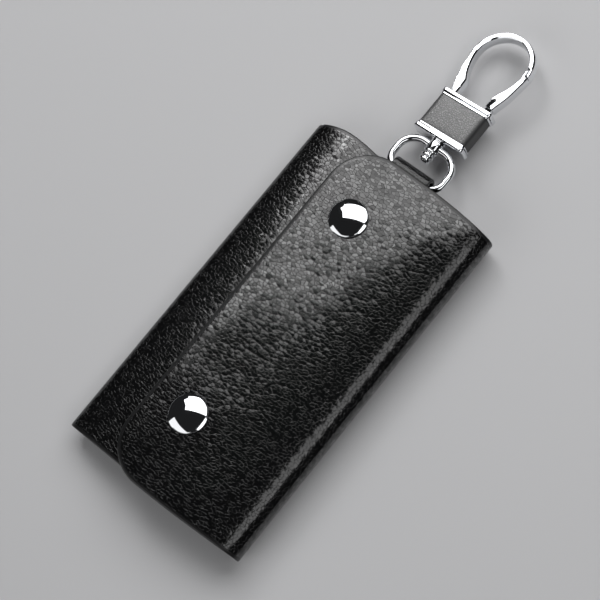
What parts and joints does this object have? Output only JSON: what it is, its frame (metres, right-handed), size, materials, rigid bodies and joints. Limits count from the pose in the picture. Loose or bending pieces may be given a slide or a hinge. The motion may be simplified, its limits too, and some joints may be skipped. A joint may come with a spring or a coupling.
{
  "type": "key case",
  "caption": "Leather key case with a wrap-over flap closed by press snaps, a row of key clips inside, and a leather-sleeved swivel snap hook on a ring.",
  "frame": {"origin": "centre of the back's outer face, between the two folds and the two ends", "axes": "+X towards the fold that the flap turns round, +Y towards the hook, +Z out of the front; the case rests on its back"},
  "size_m": [0.068, 0.18, 0.0184],
  "materials": {
    "grain_leather": "black full-grain leather with a pebbled grain",
    "lining_leather": "smooth black lining leather, matt",
    "sleeve_leather": "smooth black leather, satin, grey in strong light",
    "polished_chrome": "polished chrome plate",
    "nickel_steel": "nickel-plated steel, satin"
  },
  "bodies": {
    "back": {"back_leather": "grain_leather", "back_lining": "lining_leather", "ring_tab": "grain_leather", "tab_rivets": "nickel_steel", "key_plate": "polished_chrome", "plate_rivets": "nickel_steel", "hanger_rod": "nickel_steel"},
    "flap": {"flap_leather": "grain_leather", "flap_lining": "lining_leather", "upper_snap_cap": "polished_chrome", "upper_snap_socket": "nickel_steel", "upper_snap_spring": "nickel_steel", "lower_snap_cap": "polished_chrome", "lower_snap_socket": "nickel_steel", "lower_snap_spring": "nickel_steel"},
    "inner_leaf": {"inner_leaf_leather": "grain_leather", "inner_leaf_lining": "lining_leather", "upper_snap_stud": "nickel_steel", "upper_snap_eyelet": "nickel_steel", "lower_snap_stud": "nickel_steel", "lower_snap_eyelet": "nickel_steel"},
    "ring": {"swivel_ring": "polished_chrome"},
    "hook": {"swivel_post": "polished_chrome", "hook_body": "polished_chrome", "leather_sleeve": "sleeve_leather", "gate_pin": "nickel_steel", "gate_spring": "nickel_steel"},
    "gate": {"gate": "polished_chrome"},
    "clip_1": {"key_clip_1": "polished_chrome"},
    "clip_2": {"key_clip_2": "polished_chrome"},
    "clip_3": {"key_clip_3": "polished_chrome"},
    "clip_4": {"key_clip_4": "polished_chrome"},
    "clip_5": {"key_clip_5": "polished_chrome"},
    "clip_6": {"key_clip_6": "polished_chrome"}
  },
  "joints": [
    {"name": "flap_fold", "type": "hinge", "parent": "back", "child": "flap", "pos_m": [0.03575, 0, 0.00765], "axis": [0, 1, 0], "range_deg": [0, 170]},
    {"name": "leaf_fold", "type": "hinge", "parent": "back", "child": "inner_leaf", "pos_m": [-0.03575, 0, 0.0057], "axis": [0, -1, 0], "range_deg": [0, 119]},
    {"name": "ring_swing", "type": "hinge", "parent": "back", "child": "ring", "pos_m": [0, 0.0629, 0.00625], "axis": [1, 0, 0], "range_deg": [-90, 75]},
    {"name": "hook_swivel", "type": "hinge", "parent": "ring", "child": "hook", "pos_m": [0, 0.0745, 0.00625], "axis": [0, 1, 0], "continuous": true},
    {"name": "gate_hinge", "type": "hinge", "parent": "hook", "child": "gate", "pos_m": [0.0063, 0.0879, 0.00736], "axis": [-0.1736, 0, 0.9848], "range_deg": [0, 25], "stiffness_Nm_per_rad": 0.02, "springref_deg": -20.05},
    {"name": "clip_1_swing", "type": "hinge", "parent": "back", "child": "clip_1", "pos_m": [-0.021, 0.036, 0.00305], "axis": [-1, 0, 0], "range_deg": [0, 12]},
    {"name": "clip_2_swing", "type": "hinge", "parent": "back", "child": "clip_2", "pos_m": [-0.0126, 0.036, 0.00305], "axis": [-1, 0, 0], "range_deg": [0, 12]},
    {"name": "clip_3_swing", "type": "hinge", "parent": "back", "child": "clip_3", "pos_m": [-0.0042, 0.036, 0.00305], "axis": [-1, 0, 0], "range_deg": [0, 12]},
    {"name": "clip_4_swing", "type": "hinge", "parent": "back", "child": "clip_4", "pos_m": [0.0042, 0.036, 0.00305], "axis": [-1, 0, 0], "range_deg": [0, 12]},
    {"name": "clip_5_swing", "type": "hinge", "parent": "back", "child": "clip_5", "pos_m": [0.0126, 0.036, 0.00305], "axis": [-1, 0, 0], "range_deg": [0, 12]},
    {"name": "clip_6_swing", "type": "hinge", "parent": "back", "child": "clip_6", "pos_m": [0.021, 0.036, 0.00305], "axis": [-1, 0, 0], "range_deg": [0, 12]}
  ],
  "couplings": [
    {"joint": "leaf_fold", "follows": "flap_fold", "ratio": 0.7}
  ]
}
